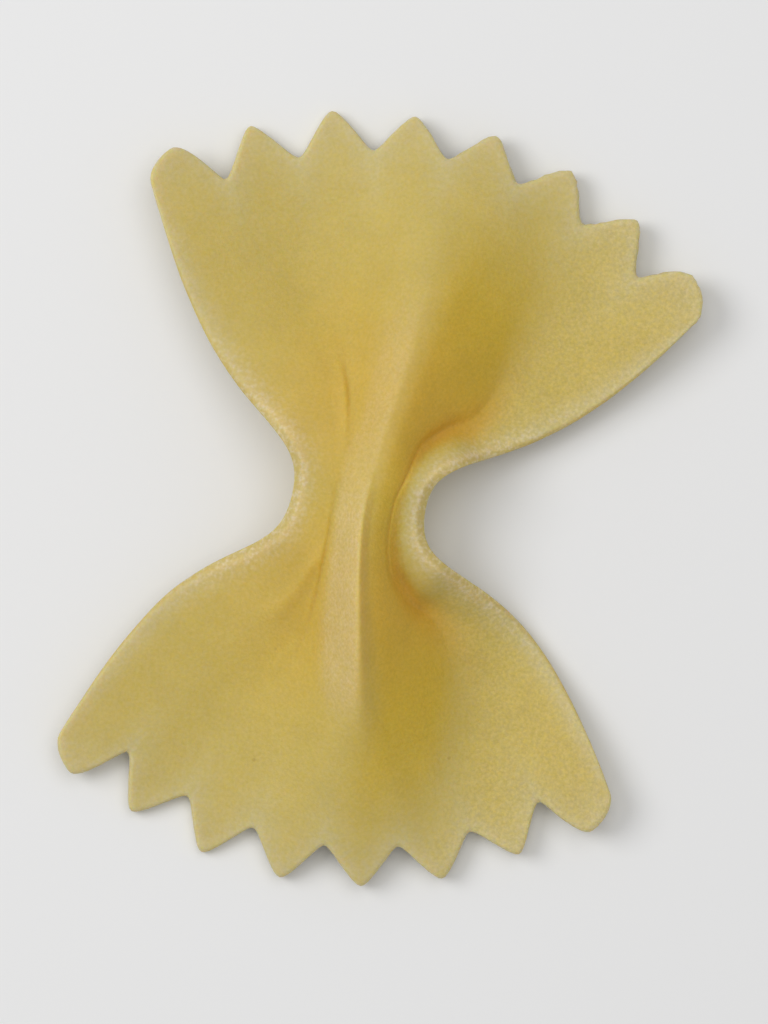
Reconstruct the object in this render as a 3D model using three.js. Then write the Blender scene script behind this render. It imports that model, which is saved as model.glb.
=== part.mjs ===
import * as THREE from 'three';

// One dried farfallone: a toothed sheet of wheat dough pinched into a bow.
// Millimetres, +Z up. The bow lies on the table z = 0 with its length along Y,
// and the finished solid is centred over the origin. Every surface point is
// found from two coordinates on the sheet:
//   across  q, -1 at the left edge of the sheet to +1 at the right edge
//   along  nu, -1 at the lower cut, 0 at the waist, +1 at the upper cut

// ---- the flat sheet -------------------------------------------------------
const SHEET_THICKNESS = 1.25;
const TOOTH_PITCH = 5.72;       // along the zigzag cut
const TEETH = 6;                // pointed teeth between the two corner lobes
const SHEET_HALF_WIDTH = 21.7;
const TOOTH_SHARPNESS = 0.93;   // 1 would be a true zigzag, 0 a sine
const CORNER_SQUARENESS = 2.3;  // exponent of the rounded corner lobes
const END_SHOULDER = 0.3;       // rounding of the zigzag cuts, top face
const UNDER_SHOULDER = 0.25;    // rounding of all edges, underside
const FLATTENED = 0.2;          // resting spots worn flat by this much

// ---- the two fans, seen from above -----------------------------------------
// Angles in degrees. middle: direction of the fan; ring: radius of the notches
// about the waist; pitchAngle: one tooth; reach: length of each tooth.
// Each corner: spread: angle from the middle to the long edge; waistPull and
// endPull: how far that edge keeps its direction at the waist and at the cut;
// heading: its direction at the cut; lobe, lobeSide, lobeAt: length of the
// rounded corner lobe, its length at the long edge, its place on the cut.
const UPPER_FAN = {
  middle: 86.7,
  ring: 23.7,
  pitchAngle: 12.29,
  reach: [2.9, 2.8, 2.5, 2.45, 2.55, 2.6],
  left: { spread: 49.4, waistPull: 4.7, endPull: 14.6, heading: 115.5,
    lobe: 3.5, lobeSide: 2.8, lobeAt: 19.9 },
  right: { spread: 49.3, waistPull: 5.1, endPull: 14.8, heading: 55.2,
    lobe: 3.0, lobeSide: 2.1, lobeAt: 19.8 },
};
const LOWER_FAN = {
  middle: 87.05,
  ring: 23.55,
  pitchAngle: 12.12,
  reach: [2.95, 2.85, 2.7, 2.6, 2.6, 2.55],
  left: { spread: 47.9, waistPull: 6.5, endPull: 15.2, heading: 111.8,
    lobe: 3.7, lobeSide: 3.2, lobeAt: 19.4 },
  right: { spread: 48.4, waistPull: 5.9, endPull: 15.6, heading: 60.2,
    lobe: 3.45, lobeSide: 2.85, lobeAt: 19.75 },
};
const TEETH_START = 0.72;       // the zigzag begins to bend the rows here
const FLANK_FACTOR = 0.75;      // distance to a tooth flank for each mm along the bow

// ---- the pinch --------------------------------------------------------------
// Five fold lines run from cut to cut: left edge, left valley, crest, right
// valley, right edge. Their sizes are given at twelve stations along the bow.
const STATIONS = [-1, -0.7, -0.45, -0.33, -0.22, 0, 0.1, 0.22, 0.33, 0.45, 0.7, 1];
const FOLDS = [
  { name: 'left edge', waistX: -5.05,
    across: [-1, -1, -1, -1, -1, -1, -1, -1, -1, -1, -1, -1],
    height: [2.9, 3.4, 4.3, 5.2, 6.0, 6.6, 6.75, 6.9, 6.8, 6.0, 4.8, 4.2],
    depth: [1.25, 1.3, 1.4, 1.41, 1.4, 1.3, 1.35, 1.4, 1.41, 1.4, 1.3, 1.25] },
  { name: 'left valley', waistX: -2.15,
    across: [-0.42, -0.45, -0.33, -0.33, -0.35, -0.39, -0.37, -0.36, -0.4, -0.45, -0.48, -0.48],
    height: [0.95, 1.85, 3.5, 4.68, 5.7, 6.7, 6.8, 6.0, 5.0, 4.0, 1.8, 0.7],
    depth: [1.25, 1.3, 2.3, 3.47, 4.6, 6.1, 5.9, 4.7, 3.68, 2.7, 1.4, 1.25],
    softness: [0.30, 0.24, 0.12, 0.09, 0.08, 0.07, 0.12, 0.20, 0.2, 0.18, 0.26, 0.30] },
  { name: 'crest', waistX: -0.1,
    across: [0.10, 0.12, 0.14, 0.14, 0.13, 0.11, 0.15, 0.16, 0.15, 0.13, 0.06, 0.02],
    height: [3.4, 5.6, 7.5, 8.15, 8.5, 8.6, 8.3, 8.2, 7.95, 7.5, 6.0, 3.5],
    depth: [1.25, 1.7, 3.2, 4.1, 4.8, 5.2, 5.0, 4.8, 4.15, 3.3, 1.8, 1.3],
    softness: [0.24, 0.14, 0.05, 0.05, 0.07, 0.11, 0.15, 0.18, 0.18, 0.18, 0.20, 0.28] },
  { name: 'right valley', waistX: 2.15,
    across: [0.50, 0.82, 0.84, 0.74, 0.67, 0.62, 0.63, 0.70, 0.78, 0.90, 0.76, 0.58],
    height: [1.3, 1.4, 2.2, 3.69, 5.2, 7.2, 7.0, 5.2, 3.84, 2.7, 1.8, 1.7],
    depth: [1.25, 1.3, 1.9, 3.12, 4.4, 6.3, 5.9, 4.4, 3.16, 2.1, 1.4, 1.25],
    softness: [0.30, 0.30, 0.10, 0.07, 0.07, 0.08, 0.08, 0.06, 0.05, 0.06, 0.26, 0.30] },
  { name: 'right edge', waistX: 3.98,
    across: [1, 1, 1, 1, 1, 1, 1, 1, 1, 1, 1, 1],
    height: [2.7, 1.5, 4.0, 6.8, 7.0, 6.7, 6.8, 7.0, 6.2, 3.6, 3.0, 3.3],
    depth: [1.25, 1.35, 1.6, 1.69, 1.7, 1.4, 1.5, 1.7, 1.74, 1.7, 1.4, 1.25] },
];
const VALLEYS_AND_CREST = [1, 2, 3];
const CREST = 2;
const RIGHT_VALLEY = 3;
// the finger-like rib along the top of the crest: a soft left side, a crisp right one
const RIB_HEIGHT = [0, 0.15, 1.0, 0.95, 0.75, 0.25, 0.1, 0.1, 0.13, 0.15, 0.05, 0];
const RIB_FOOT = [0, 0, -0.16, -0.22, -0.26, -0.34, -0.32, -0.18, -0.14, -0.12, -0.10, -0.1];
const RIB_RISE = [1.6, 1.6, 1.6, 1.46, 1.3, 1.0, 1.0, 1.0, 1.09, 1.2, 1.2, 1.2];
const RIB_RIGHT = 0.1;          // width of its right side, in q
const RIB_TOP = 0.03;           // rounding of its top and of its right foot, in q
const RIB_END = 0.05;
// swell of the right wall, between the crest and the right valley
const BELLY = [0, 0.15, 0.75, 0.9, 0.8, 0.35, 0.35, 0.65, 0.66, 0.55, 0.2, 0];
// the sloping long edges
const BEVEL_WIDTH = [0.2, 0.25, 0.5, 0.54, 0.55, 0.55, 0.55, 0.55, 0.51, 0.45, 0.25, 0.2];
const BEVEL_DROP = [0.2, 0.2, 0.35, 0.38, 0.4, 0.4, 0.4, 0.4, 0.38, 0.35, 0.2, 0.2];
const ARRIS = 0.12;             // rounding between the top face and the slope

// ---- how finely the faces are cut ------------------------------------------
const STEPS_PER_HALF_TOOTH = 4;
const LOBE_STEPS = [4.54, 3.1, 1.9, 0.9, 0.35, 0];   // distances from the long edge
const ROWS_PER_WING = 17;
const CUT_ROWS = [0.965, 0.99, 1];                   // the last rows, close to each cut

const radians = (degrees) => (degrees * Math.PI) / 180;
const clamp01 = (x) => Math.min(1, Math.max(0, x));
const smoothstep = (x) => clamp01(x) ** 2 * (3 - 2 * clamp01(x));

// Smooth curve through one value per station; straight beyond the ends.
function along(values, nu) {
  const last = STATIONS.length - 1;
  const rise = (i) => (values[i + 1] - values[i]) / (STATIONS[i + 1] - STATIONS[i]);
  const tangent = (i) => (rise(Math.max(0, i - 1)) + rise(Math.min(last - 1, i))) / 2;
  const x = Math.min(1, Math.max(-1, nu));
  let i = 0;
  while (i < last - 1 && x >= STATIONS[i + 1]) i += 1;
  const span = STATIONS[i + 1] - STATIONS[i];
  const f = (x - STATIONS[i]) / span;
  const blend = f ** 2 * (3 - 2 * f);
  const leave = f * (1 - f) ** 2 * span * tangent(i);
  const arrive = f ** 2 * (f - 1) * span * tangent(i + 1);
  const inside = (1 - blend) * values[i] + blend * values[i + 1] + leave + arrive;
  const beyond = nu < -1 ? (nu + 1) * tangent(0) : nu > 1 ? (nu - 1) * tangent(last) : 0;
  return inside + beyond;
}

// Zero, then a parabola over two widths, then the line y = x.
function ramp(x, width) {
  if (x <= -width) return 0;
  if (x >= width) return x;
  return (x + width) ** 2 / (4 * width);
}

// Value across the sheet: straight between folds, rounded at each fold.
function foldedAcross(q, nu, foldValues) {
  const at = FOLDS.map((fold) => along(fold.across, nu));
  const slope = (i) => (foldValues[i + 1] - foldValues[i]) / (at[i + 1] - at[i]);
  let value = foldValues[0] + slope(0) * (q - at[0]);
  for (const i of VALLEYS_AND_CREST) {
    value += (slope(i) - slope(i - 1)) * ramp(q - at[i], along(FOLDS[i].softness, nu));
  }
  return value;
}

const heightAt = (q, nu) => foldedAcross(q, nu, FOLDS.map((fold) => along(fold.height, nu)));
const depthAt = (q, nu) => foldedAcross(q, nu, FOLDS.map((fold) => along(fold.depth, nu)));

function ribAt(q, nu) {
  const crest = along(FOLDS[CREST].across, nu);
  const foot = along(RIB_FOOT, nu);
  const rise = smoothstep((q - foot) / ((crest - foot) * along(RIB_RISE, nu)));
  const fall = (ramp(q - crest, RIB_TOP) - ramp(q - crest - RIB_RIGHT, RIB_END)) / RIB_RIGHT;
  return Math.max(0, along(RIB_HEIGHT, nu)) * rise * (1 - fall);
}

function bellyAt(q, nu) {
  const near = along(FOLDS[CREST].across, nu);
  const far = along(FOLDS[RIGHT_VALLEY].across, nu);
  const share = (ramp(q - near, along(FOLDS[CREST].softness, nu))
    - ramp(q - far, along(FOLDS[RIGHT_VALLEY].softness, nu))) / (far - near);
  return 4 * Math.max(0, along(BELLY, nu)) * share * (1 - share);
}

// How far the zigzag cut reaches past the ring of notches.
function cutReach(s, fan) {
  const corner = s < 0 ? fan.left : fan.right;
  const a = Math.abs(s);
  const lobeFoot = (TEETH / 2) * TOOTH_PITCH;
  if (a <= lobeFoot) {
    const tooth = Math.min(TEETH - 1, Math.max(0, Math.floor(s / TOOTH_PITCH + TEETH / 2)));
    const swing = Math.asin(TOOTH_SHARPNESS * Math.cos((2 * Math.PI * a) / TOOTH_PITCH));
    return fan.reach[tooth] * (0.5 - (0.5 * swing) / Math.asin(TOOTH_SHARPNESS));
  }
  if (a <= corner.lobeAt) return corner.lobe * smoothstep((a - lobeFoot) / (corner.lobeAt - lobeFoot));
  const x = clamp01((a - corner.lobeAt) / (SHEET_HALF_WIDTH - corner.lobeAt));
  const round = (1 - x ** CORNER_SQUARENESS) ** (1 / CORNER_SQUARENESS);
  return corner.lobeSide + (corner.lobe - corner.lobeSide) * round;
}

// Plan position: each line of dough is one cubic curve from the waist to the cut.
function planPoint(s, v) {
  const fan = v < 0 ? LOWER_FAN : UPPER_FAN;
  const wing = v < 0 ? -1 : 1;
  const corner = s < 0 ? fan.left : fan.right;
  const t = Math.abs(v);
  const q = s / SHEET_HALF_WIDTH;
  const a = Math.abs(q);
  const evenAngle = (s / TOOTH_PITCH) * fan.pitchAngle;
  const evenSpread = (SHEET_HALF_WIDTH / TOOTH_PITCH) * fan.pitchAngle;
  const stretch = Math.sign(s) * (corner.spread - evenSpread) * a ** 10;
  const angle = radians(fan.middle - evenAngle - stretch);
  const third = fan.ring / 3;
  const waistPull = third + (corner.waistPull - third) * a ** 2;
  const endPull = third + (corner.endPull - third) * a ** 2;
  const heading = angle + (radians(corner.heading) - angle) * a ** 3;
  const waistX = foldedAcross(q, 0, FOLDS.map((fold) => fold.waistX));
  const end = [fan.ring * Math.cos(angle), fan.ring * Math.sin(angle)];
  const out = [Math.cos(heading), Math.sin(heading)];
  const bend = clamp01((t - TEETH_START) / (1 - TEETH_START)) ** 2;
  const reach = cutReach(s, fan) * bend;
  const mix = (p0, p1, p2, p3) => (1 - t) ** 3 * p0 + 3 * (1 - t) ** 2 * t * p1
    + 3 * (1 - t) * t ** 2 * p2 + t ** 3 * p3;
  const x = mix(waistX, waistX, end[0] - endPull * out[0], end[0]) + out[0] * reach;
  const y = mix(0, waistPull, end[1] - endPull * out[1], end[1]) + out[1] * reach;
  return { x, y: wing * y, nu: wing * (t + reach / fan.ring) };
}

// Drop of a rounded edge at a given distance inside it.
function shoulder(distance, radius) {
  const x = clamp01(1 - distance / radius);
  return radius * (1 - Math.sqrt(Math.max(0, 1 - x * x)));
}

// Drop of the sloping long edge, with its rounded arris.
function sideDrop(toSide, nu) {
  const width = along(BEVEL_WIDTH, nu);
  const slope = (along(BEVEL_DROP, nu) / width) * ramp(width - toSide, ARRIS);
  return slope + shoulder(toSide, ARRIS);
}

function skinPoints(s, v) {
  const p = planPoint(s, v);
  const side = planPoint(s < 0 ? -SHEET_HALF_WIDTH : SHEET_HALF_WIDTH, v);
  const cut = planPoint(s, v < 0 ? -1 : 1);
  const toSide = Math.hypot(p.x - side.x, p.y - side.y);
  const toCut = FLANK_FACTOR * Math.hypot(p.x - cut.x, p.y - cut.y);
  const q = s / SHEET_HALF_WIDTH;
  const skin = heightAt(q, p.nu);
  const depth = Math.max(SHEET_THICKNESS, depthAt(q, p.nu));
  const topDrop = Math.max(sideDrop(toSide, p.nu), shoulder(toCut, END_SHOULDER));
  const underRise = Math.max(shoulder(toSide, UNDER_SHOULDER), shoulder(toCut, UNDER_SHOULDER));
  const top = skin + ribAt(q, p.nu) + bellyAt(q, p.nu) - topDrop;
  return { x: p.x, y: p.y, top, under: skin - depth + underRise };
}

// Columns run through every tooth tip and notch, then round the corner lobes.
function columns() {
  const steps = TEETH * STEPS_PER_HALF_TOOTH;
  const inner = [];
  const step = TOOTH_PITCH / (2 * STEPS_PER_HALF_TOOTH);
  for (let i = -steps + 1; i < steps; i += 1) inner.push(i * step);
  const right = LOBE_STEPS.map((inset) => SHEET_HALF_WIDTH - inset);
  const left = right.map((s) => -s).reverse();
  return [...left, ...inner, ...right];
}

function rows() {
  const wing = [...CUT_ROWS];
  for (let i = ROWS_PER_WING; i > 0; i -= 1) wing.unshift((i / (ROWS_PER_WING + 1)) * CUT_ROWS[0]);
  return [...wing.map((v) => -v).reverse(), 0, ...wing];
}

const middleOf = (values) => (Math.min(...values) + Math.max(...values)) / 2;

function sheetGeometry() {
  const across = columns();
  const lengthwise = rows();
  const grid = across.map((s) => lengthwise.map((v) => skinPoints(s, v)));
  const points = grid.flat();
  const lowest = Math.min(...points.map((p) => p.under)) + FLATTENED;
  const middleX = middleOf(points.map((p) => p.x));
  const middleY = middleOf(points.map((p) => p.y));
  const positions = [];
  for (const level of ['top', 'under']) {
    for (const p of points) {
      positions.push(p.x - middleX, p.y - middleY, Math.max(0, p[level] - lowest));
    }
  }
  const nx = across.length;
  const ny = lengthwise.length;
  const top = (i, j) => i * ny + j;
  const under = (i, j) => nx * ny + top(i, j);
  const faces = [];
  for (let i = 0; i < nx - 1; i += 1) {
    for (let j = 0; j < ny - 1; j += 1) {
      const near = [i, j];
      const side = [i + 1, j];
      const far = [i + 1, j + 1];
      const next = [i, j + 1];
      for (const corner of [near, side, far, near, far, next]) faces.push(top(...corner));
      for (const corner of [near, far, side, near, next, far]) faces.push(under(...corner));
    }
  }
  const rim = [];
  for (let i = 0; i < nx - 1; i += 1) rim.push([i, 0]);
  for (let j = 0; j < ny - 1; j += 1) rim.push([nx - 1, j]);
  for (let i = nx - 1; i > 0; i -= 1) rim.push([i, ny - 1]);
  for (let j = ny - 1; j > 0; j -= 1) rim.push([0, j]);
  rim.forEach(([i, j], k) => {
    const [m, n] = rim[(k + 1) % rim.length];
    faces.push(under(i, j), under(m, n), top(m, n), under(i, j), top(m, n), top(i, j));
  });
  const geometry = new THREE.BufferGeometry();
  geometry.setAttribute('position', new THREE.Float32BufferAttribute(positions, 3));
  geometry.setIndex(faces);
  geometry.computeVertexNormals();
  return geometry;
}

const group = new THREE.Group();
group.name = 'farfallone_bow';
const dough = new THREE.MeshStandardMaterial({ color: 0xc8b068, roughness: 0.6, metalness: 0 });
const farfallone = new THREE.Mesh(sheetGeometry(), dough);
farfallone.name = 'farfallone';
group.add(farfallone);

export default group;
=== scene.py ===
"""One dried farfallone: a toothed sheet of durum dough pinched into a bow, from above on a pale table."""

import logging
import math
from dataclasses import dataclass, field
from enum import Enum
from typing import Optional

import bpy
import numpy as np
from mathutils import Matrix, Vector


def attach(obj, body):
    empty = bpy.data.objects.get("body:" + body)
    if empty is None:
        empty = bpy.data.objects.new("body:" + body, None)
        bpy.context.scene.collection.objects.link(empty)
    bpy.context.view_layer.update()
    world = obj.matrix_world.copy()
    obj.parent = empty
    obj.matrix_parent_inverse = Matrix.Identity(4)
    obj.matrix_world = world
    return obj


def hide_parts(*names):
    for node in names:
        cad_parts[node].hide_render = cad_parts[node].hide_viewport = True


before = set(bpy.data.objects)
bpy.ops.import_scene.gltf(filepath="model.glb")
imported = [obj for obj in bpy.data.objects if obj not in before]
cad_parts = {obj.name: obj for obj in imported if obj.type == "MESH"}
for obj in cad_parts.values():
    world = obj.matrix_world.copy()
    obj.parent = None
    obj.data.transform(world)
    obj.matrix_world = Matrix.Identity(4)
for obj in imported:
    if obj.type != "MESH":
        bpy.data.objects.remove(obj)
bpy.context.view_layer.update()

LOG = logging.getLogger("farfallone")
MM = 0.001
NODE = "farfallone"
Pair = tuple[float, float]
Row = tuple[float, ...]


def linear(hex_colour: str) -> tuple[float, float, float, float]:
    """Turns an sRGB hex colour into linear red, green and blue, and a full alpha.

    Args:
        hex_colour: Six hex digits, such as "C8B068".

    Returns:
        Four linear numbers.
    """
    parts = [int(hex_colour[i:i + 2], 16) / 255 for i in (0, 2, 4)]
    lin = [c / 12.92 if c <= 0.04045 else ((c + 0.055) / 1.055) ** 2.4 for c in parts]
    return lin[0], lin[1], lin[2], 1.0


def add_node(tree: bpy.types.NodeTree, kind: str, settings: Optional[dict] = None,
             inputs: Optional[dict] = None) -> bpy.types.Node:
    """Adds one node, sets its properties, and fills or links its inputs.

    Args:
        tree: The shader or geometry tree that gets the node.
        kind: The node's type, such as "ShaderNodeMath".
        settings: Property names and their values.
        inputs: Input names or numbers, each with a value or the socket to link from.

    Returns:
        The new node.
    """
    node = tree.nodes.new(kind)
    for name, value in (settings or {}).items():
        setattr(node, name, value)
    for key, value in (inputs or {}).items():
        if isinstance(value, bpy.types.NodeSocket):
            tree.links.new(value, node.inputs[key])
        else:
            node.inputs[key].default_value = value
    return node


def smoothstep(x: np.ndarray) -> np.ndarray:
    """Rises smoothly from 0 at x = 0 to 1 at x = 1."""
    x = np.clip(x, 0.0, 1.0)
    return x * x * (3.0 - 2.0 * x)


def rise(x: np.ndarray, start: float, run: float) -> np.ndarray:
    """Rises smoothly from 0 at the start to 1 at the end of the run."""
    return smoothstep((x - start) / run)


def bell(x: np.ndarray, middle: float, width: float) -> np.ndarray:
    """Is 1 in the middle, and dies out over the width on both sides."""
    return np.exp(-((x - middle) / width) ** 2)


class Half(Enum):
    """The two wings of the bow."""

    LOWER = -1
    UPPER = 1


class Layer(Enum):
    """What the mesh remembers at each point, for the relief and the finish."""

    RIM = "rim"          # closeness to an edge, where the dough is pale
    PAINTED_SHADE = "hollow"    # painted shade: a deeper, darker yellow on the right wall and valley that face away from the light, fainter in the left valley
    WARM = "warm"        # thick dough at the pinch, with more orange in it; also painted shade: more orange in the shaded hollows and the right valley's pleat
    BLOOM = "bloom"      # chalky, stretched dough on the rib and along the waist's arris
    CUT = "cut"          # the sloping long edges
    RELIEF = "relief"    # how freely the skin may swell; zero where it lies on the table
    RAG = "rag"          # how torn the cut is
    DUST = "dust"        # where crumbs of starch cling, along the long sides
    MEAL = "meal"        # how much the meal's speckle shows: painted grazing light, strongest on the shaded walls and the right wings that face away from the light


@dataclass(frozen=True)
class Corner:
    """One corner of a wing: the run of its long edge, and the rounded lobe at its end."""

    spread: float       # degrees from the wing's middle to the long edge
    waist_pull: float   # mm over which the edge keeps its direction at the waist
    end_pull: float     # mm over which it keeps its direction at the cut
    heading: float      # degrees, its direction at the cut
    lobe: float         # mm past the ring of notches
    lobe_side: float    # mm past the ring, at the long edge
    lobe_at: float      # mm along the cut, from its middle


@dataclass(frozen=True)
class Fan:
    """One wing seen from above: a fan about the waist with a zigzag cut."""

    middle: float       # degrees
    ring: float         # mm, radius of the notches
    pitch_angle: float  # degrees for one tooth
    reach: Row          # mm, length of each tooth
    left: Corner
    right: Corner


@dataclass(frozen=True)
class Fold:
    """One fold line from cut to cut, given at the stations along the bow."""

    waist_x: float          # mm from the bow's middle line, at the waist
    across: Row             # place across the sheet, -1 to 1
    height: Row             # mm, top face
    depth: Row              # mm of dough under it
    softness: Row = ()      # half-width of its rounding, across the sheet; none at an edge


@dataclass(frozen=True)
class Crease:
    """A place where the dough is pressed shut: a thin slit, and a lip standing over it on its left."""

    across: Row         # place across the sheet, at the stations
    slit: Row           # mm deep
    lip: Row            # mm high
    width: float        # of the slit, across the sheet
    step: float         # of the lip's fall, across the sheet
    lip_width: float    # of the lip, across the sheet


@dataclass(frozen=True)
class Ripple:
    """A low swelling or hollow of one wing, along a straight line on the sheet."""

    start: Pair           # across and along, -1 to 1
    end: Pair
    height: float         # mm, negative for a hollow
    width: float          # across the sheet
    run_on: float = 0.2   # of its length, for which its line goes on past its ends
    full: float = 0.3     # of its length, on both sides of its middle, that is full height
    fade: float = 0.25    # of its length, over which it dies out after that


@dataclass
class DoughSheet:
    """The toothed sheet and its pinch, with every point found from two coordinates, s across and v along.

    Lengths are in millimetres. A place across the sheet or along the bow goes from -1 to 1. A tuple with
    one value for each station is joined by a smooth curve.
    """

    thickness: float = 1.25
    tooth_pitch: float = 5.72
    teeth: int = 6                  # between the two corner lobes
    half_width: float = 21.7        # of the flat dough
    tooth_sharpness: float = 0.91   # 0 for a round wave, 1 for straight flanks and pointed tips
    lobe_start: float = 0.15        # of a lobe's climb, over which it leaves the last notch
    lobe_roundness: float = 1.7     # of the climb
    corner_squareness: float = 2.1  # of the lobe's outer side; 2 is an ellipse
    edge_turn: int = 10             # the power by which the long edges leave the fan's even spread
    end_shoulder: float = 0.3       # radius of the top face's rounding, at the cuts
    under_shoulder: float = 0.25    # radius of the underside's rounding
    flattened: float = 0.2          # worn off where it lies on the table
    teeth_start: float = 0.72       # share of the way to the cut at which they begin to stretch the dough
    flank_factor: float = 0.75      # distance to a tooth's flank, over that to the cut straight ahead
    rib_right: float = 0.1          # across, from the rib's top to its foot on the right
    rib_top: float = 0.03           # across, rounding of the rib's right side at its top
    rib_end: float = 0.05           # the same at its foot
    arris: float = 0.12             # rounding between the top face and the sloping edge
    stations: Row = (-1, -0.7, -0.45, -0.33, -0.22, 0, 0.1, 0.22, 0.33, 0.45, 0.7, 1)
    # One value for each station: the rib's height, the place of its left foot, the run of its rise over the
    # way from foot to crest, the swell of the right wall, and the sloping edge's width and fall.
    rib: Row = (0, 0.15, 1.1, 1.1, 0.95, 0.3, 0.1, 0.1, 0.13, 0.15, 0.05, 0)
    rib_foot: Row = (0, 0, -0.16, -0.22, -0.26, -0.34, -0.32, -0.18, -0.14, -0.12, -0.10, -0.1)
    rib_rise: Row = (1.6, 1.6, 1.6, 1.46, 1.3, 1.0, 1.0, 1.0, 1.09, 1.2, 1.2, 1.2)
    belly: Row = (0, 0.15, 0.75, 0.9, 0.8, 0.35, 0.35, 0.65, 0.66, 0.55, 0.2, 0)
    bevel_width: Row = (0.2, 0.25, 0.5, 0.54, 0.55, 0.55, 0.55, 0.55, 0.51, 0.45, 0.25, 0.2)
    bevel_drop: Row = (0.2, 0.2, 0.35, 0.38, 0.4, 0.4, 0.4, 0.4, 0.38, 0.35, 0.2, 0.2)
    fans: dict[Half, Fan] = field(default_factory=lambda: {
        Half.UPPER: Fan(
            86.7, 23.7, 12.29, (2.9, 2.8, 2.5, 2.45, 2.55, 2.6),
            Corner(49.5, 4.7, 14.6, 115.5, 3.6, 2.35, 19.9),
            Corner(49.5, 5.1, 14.8, 55.2, 3.1, 1.7, 19.7)),
        Half.LOWER: Fan(
            87.05, 23.55, 12.12, (2.95, 2.85, 2.7, 2.6, 2.6, 2.55),
            Corner(48.2, 6.5, 15.2, 111.8, 3.85, 2.8, 19.6),
            Corner(48.6, 5.9, 15.6, 60.2, 3.6, 2.4, 19.7)),
    })
    folds: dict[str, Fold] = field(default_factory=lambda: {
        "left_edge": Fold(
            -5.05, (-1,) * 12,
            (2.9, 3.15, 4.0, 4.9, 5.8, 6.6, 6.75, 6.9, 6.8, 6.0, 4.8, 4.2),
            (1.25, 1.3, 1.4, 1.41, 1.4, 1.3, 1.35, 1.4, 1.41, 1.4, 1.3, 1.25)),
        "left_valley": Fold(
            -2.15, (-0.42, -0.45, -0.33, -0.33, -0.35, -0.39, -0.37, -0.36, -0.4, -0.45, -0.48, -0.48),
            (0.95, 1.85, 3.5, 4.68, 5.75, 6.8, 6.9, 6.05, 5.0, 4.0, 1.8, 0.7),
            (1.25, 1.3, 2.3, 3.47, 4.6, 6.1, 5.9, 4.7, 3.68, 2.7, 1.4, 1.25),
            (0.30, 0.24, 0.12, 0.09, 0.08, 0.07, 0.12, 0.20, 0.2, 0.18, 0.26, 0.30)),
        "crest": Fold(
            -0.1, (0.10, 0.12, 0.14, 0.14, 0.13, 0.11, 0.15, 0.16, 0.15, 0.13, 0.06, 0.02),
            (3.4, 5.6, 7.55, 8.2, 8.5, 8.45, 8.0, 7.9, 7.7, 7.3, 6.0, 3.5),
            (1.25, 1.7, 3.2, 4.1, 4.8, 5.2, 5.0, 4.8, 4.15, 3.3, 1.8, 1.3),
            (0.24, 0.14, 0.05, 0.05, 0.07, 0.11, 0.15, 0.18, 0.18, 0.18, 0.20, 0.28)),
        "right_valley": Fold(
            2.15, (0.50, 0.82, 0.81, 0.71, 0.64, 0.62, 0.64, 0.70, 0.79, 0.88, 0.78, 0.58),
            (1.3, 1.4, 2.8, 4.5, 5.7, 7.2, 7.0, 5.4, 4.4, 3.1, 2.0, 1.7),
            (1.25, 1.3, 1.9, 3.12, 4.4, 6.3, 5.9, 4.4, 3.16, 2.1, 1.4, 1.25),
            (0.30, 0.14, 0.05, 0.05, 0.07, 0.08, 0.08, 0.06, 0.05, 0.05, 0.20, 0.30)),
        "right_edge": Fold(
            3.98, (1,) * 12,
            (2.7, 1.6, 4.6, 6.2, 6.6, 6.7, 6.8, 6.9, 6.2, 4.2, 2.7, 3.3),
            (1.25, 1.35, 1.6, 1.69, 1.7, 1.4, 1.5, 1.7, 1.74, 1.7, 1.4, 1.25)),
    })
    creases: tuple[Crease, ...] = (
        Crease((-0.5, -0.5, -0.34, -0.33, -0.35, -0.39, -0.36, -0.34, -0.375, -0.45, -0.5, -0.5),
               (0, 0, 0.06, 0.12, 0.14, 0.05, 0.0, 0.05, 0.2, 0.04, 0, 0),
               (0, 0, 0.2, 0.3, 0.3, 0.05, 0.05, 0.35, 0.5, 0.2, 0, 0), 0.03, 0.08, 0.16),
        Crease((0.5, 0.7, 0.78, 0.65, 0.53, 0.54, 0.62, 0.63, 0.73, 0.82, 0.7, 0.6),
               (0, 0, 0.1, 0.19, 0.25, 0.15, 0.15, 0.25, 0.2, 0.1, 0, 0),
               (0,) * 12, 0.025, 0.1, 0.1),
    )
    ripples: tuple[Ripple, ...] = (
        Ripple((-0.46, -0.19), (-0.66, -0.46), 0.24, 0.08),
        Ripple((0.60, -0.22), (0.74, -0.42), -0.4, 0.07),
        Ripple((0.68, 0.24), (0.80, 0.42), -0.3, 0.06),
        Ripple((-0.62, 0.55), (-0.66, 0.85), -0.12, 0.12),
    )

    def along(self, values: Row, nu: np.ndarray) -> np.ndarray:
        """Runs a smooth curve through one value for each station, and straight beyond the ends.

        Args:
            values: One value for each station.
            nu: Places along the bow, -1 to 1.

        Returns:
            The value at each place.
        """
        at = np.asarray(self.stations, float)
        val = np.asarray(values, float)
        span = np.diff(at)
        slope = np.diff(val) / span
        tangent = np.concatenate([slope[:1], (slope[1:] + slope[:-1]) / 2, slope[-1:]])
        x = np.clip(nu, -1.0, 1.0)
        i = np.clip(np.searchsorted(at, x, side="right") - 1, 0, len(span) - 1)
        f = (x - at[i]) / span[i]
        blend = f * f * (3 - 2 * f)
        leave = f * (1 - f) ** 2 * span[i] * tangent[i]
        arrive = f * f * (f - 1) * span[i] * tangent[i + 1]
        beyond = np.where(nu < -1, (nu + 1) * tangent[0], 0) + np.where(nu > 1, (nu - 1) * tangent[-1], 0)
        return (1 - blend) * val[i] + blend * val[i + 1] + leave + arrive + beyond

    @staticmethod
    def ramp(x: np.ndarray, width: np.ndarray) -> np.ndarray:
        """Is zero, then a parabola over two widths, then the line y = x."""
        return np.where(x <= -width, 0.0, np.where(x >= width, x, (x + width) ** 2 / (4 * width)))

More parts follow.
